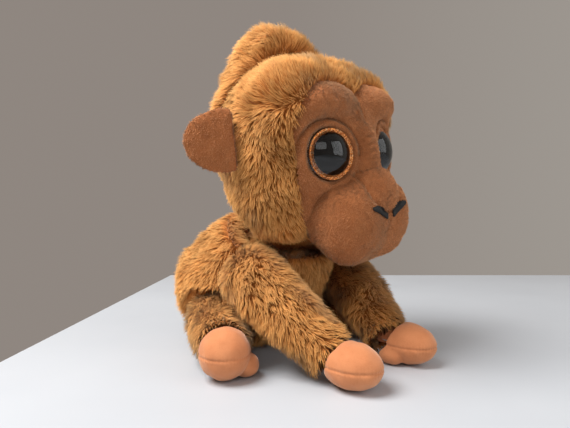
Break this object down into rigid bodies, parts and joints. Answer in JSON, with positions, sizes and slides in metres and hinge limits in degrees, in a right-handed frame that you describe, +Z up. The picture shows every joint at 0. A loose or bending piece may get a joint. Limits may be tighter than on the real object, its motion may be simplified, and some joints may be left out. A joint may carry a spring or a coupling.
{
  "type": "stuffed monkey",
  "caption": "Seated stuffed ape toy in golden brown fur, with a large head, rounded top-knot, glossy eyes, broad muzzle, and orange hands and feet.",
  "frame": {"origin": "bottom centre of the whole toy's outline, on the surface it sits on", "axes": "+Z up, the face looks along -Y, +X is the toy's own left side"},
  "size_m": [0.186, 0.1969, 0.2414],
  "materials": {
    "fur": "long soft pile, golden brown",
    "short_pile": "short dense pile, dusty brown",
    "suede": "smooth brushed suede, orange tan",
    "stuffing": "white polyester fibre filling",
    "pellets": "small plastic beads in a pouch",
    "seam_thread": "sewing thread",
    "nose_thread": "satin stitch, black",
    "eye_dome": "clear, polished",
    "eye_iris": "copper glitter",
    "eye_pupil": "black, polished",
    "eye_backing": "black moulded plastic"
  },
  "bodies": {
    "torso": {"torso_right": "fur", "torso_left": "fur", "torso_stuffing": "stuffing", "seat_pellets": "pellets"},
    "neck_core": {"neck_core": "stuffing"},
    "head": {"head_side_right": "fur", "head_side_left": "fur", "head_knot": "fur", "knot_stuffing": "stuffing", "face_panel": "short_pile", "muzzle": "short_pile", "muzzle_stuffing": "stuffing", "head_stuffing": "stuffing", "nostril_right": "nose_thread", "nostril_left": "nose_thread", "eye_lens_right": "eye_dome", "eye_lens_left": "eye_dome", "eye_iris_right": "eye_iris", "eye_iris_left": "eye_iris", "eye_pupil_right": "eye_pupil", "eye_pupil_left": "eye_pupil", "eye_shank_right": "eye_backing", "eye_shank_left": "eye_backing", "eye_washer_right": "eye_backing", "eye_washer_left": "eye_backing"},
    "ear_right": {"ear_front_right": "short_pile", "ear_back_right": "short_pile"},
    "ear_left": {"ear_front_left": "short_pile", "ear_back_left": "short_pile"},
    "arm_right": {"arm_sleeve_right": "fur", "arm_stuffing_right": "stuffing"},
    "arm_left": {"arm_sleeve_left": "fur", "arm_stuffing_left": "stuffing"},
    "hand_right": {"hand_back_right": "suede", "hand_palm_right": "suede", "hand_stuffing_right": "stuffing", "thumb_right": "suede", "hand_seam_right": "seam_thread"},
    "hand_left": {"hand_back_left": "suede", "hand_palm_left": "suede", "hand_stuffing_left": "stuffing", "thumb_left": "suede", "hand_seam_left": "seam_thread"},
    "leg_right": {"leg_sleeve_right": "fur", "leg_stuffing_right": "stuffing"},
    "leg_left": {"leg_sleeve_left": "fur", "leg_stuffing_left": "stuffing"},
    "foot_right": {"foot_top_right": "suede", "foot_sole_right": "suede", "foot_stuffing_right": "stuffing", "toe_right": "suede", "foot_seam_right": "seam_thread"},
    "foot_left": {"foot_top_left": "suede", "foot_sole_left": "suede", "foot_stuffing_left": "stuffing", "toe_left": "suede", "foot_seam_left": "seam_thread"}
  },
  "joints": [
    {"name": "neck_turn", "type": "hinge", "parent": "torso", "child": "neck_core", "pos_m": [0, 0.001, 0.09], "axis": [0, 0, 1], "range_deg": [-18, 18], "stiffness_Nm_per_rad": 0.3},
    {"name": "neck_nod", "type": "hinge", "parent": "neck_core", "child": "head", "pos_m": [0, 0.001, 0.09], "axis": [1, 0, 0], "range_deg": [-6, 5], "stiffness_Nm_per_rad": 0.8},
    {"name": "shoulder_left", "type": "hinge", "parent": "torso", "child": "arm_left", "pos_m": [0.046, -0.008, 0.058], "axis": [-0.4225, -0.4809, 0.7682], "range_deg": [0, 25], "stiffness_Nm_per_rad": 0.15},
    {"name": "shoulder_right", "type": "hinge", "parent": "torso", "child": "arm_right", "pos_m": [-0.046, -0.008, 0.058], "axis": [-0.4225, 0.4809, -0.7682], "range_deg": [0, 25], "stiffness_Nm_per_rad": 0.15},
    {"name": "wrist_left", "type": "hinge", "parent": "arm_left", "child": "hand_left", "pos_m": [0.032, -0.058, 0.019], "axis": [1, 0, 0], "range_deg": [-12, 0], "stiffness_Nm_per_rad": 0.05},
    {"name": "wrist_right", "type": "hinge", "parent": "arm_right", "child": "hand_right", "pos_m": [-0.032, -0.058, 0.019], "axis": [1, 0, 0], "range_deg": [-12, 0], "stiffness_Nm_per_rad": 0.05},
    {"name": "hip_left", "type": "hinge", "parent": "torso", "child": "leg_left", "pos_m": [0.045, 0.033, 0.025], "axis": [0, 0, 1], "range_deg": [-3, 12], "stiffness_Nm_per_rad": 0.2},
    {"name": "hip_right", "type": "hinge", "parent": "torso", "child": "leg_right", "pos_m": [-0.045, 0.033, 0.025], "axis": [0, 0, -1], "range_deg": [-3, 12], "stiffness_Nm_per_rad": 0.2},
    {"name": "ankle_left", "type": "hinge", "parent": "leg_left", "child": "foot_left", "pos_m": [0.067, -0.001, 0.0185], "axis": [-0.8396, -0.5433, 0], "range_deg": [0, 18], "stiffness_Nm_per_rad": 0.06},
    {"name": "ankle_right", "type": "hinge", "parent": "leg_right", "child": "foot_right", "pos_m": [-0.067, -0.001, 0.0185], "axis": [-0.8396, 0.5433, 0], "range_deg": [0, 18], "stiffness_Nm_per_rad": 0.06},
    {"name": "ear_fold_left", "type": "hinge", "parent": "head", "child": "ear_left", "pos_m": [0.0689, -0.012, 0.16676], "axis": [-0.1392, 0, 0.9903], "range_deg": [-15, 15], "stiffness_Nm_per_rad": 0.02},
    {"name": "ear_fold_right", "type": "hinge", "parent": "head", "child": "ear_right", "pos_m": [-0.07112, -0.012, 0.14708], "axis": [0.1392, 0, -0.9903], "range_deg": [-15, 15], "stiffness_Nm_per_rad": 0.02}
  ]
}
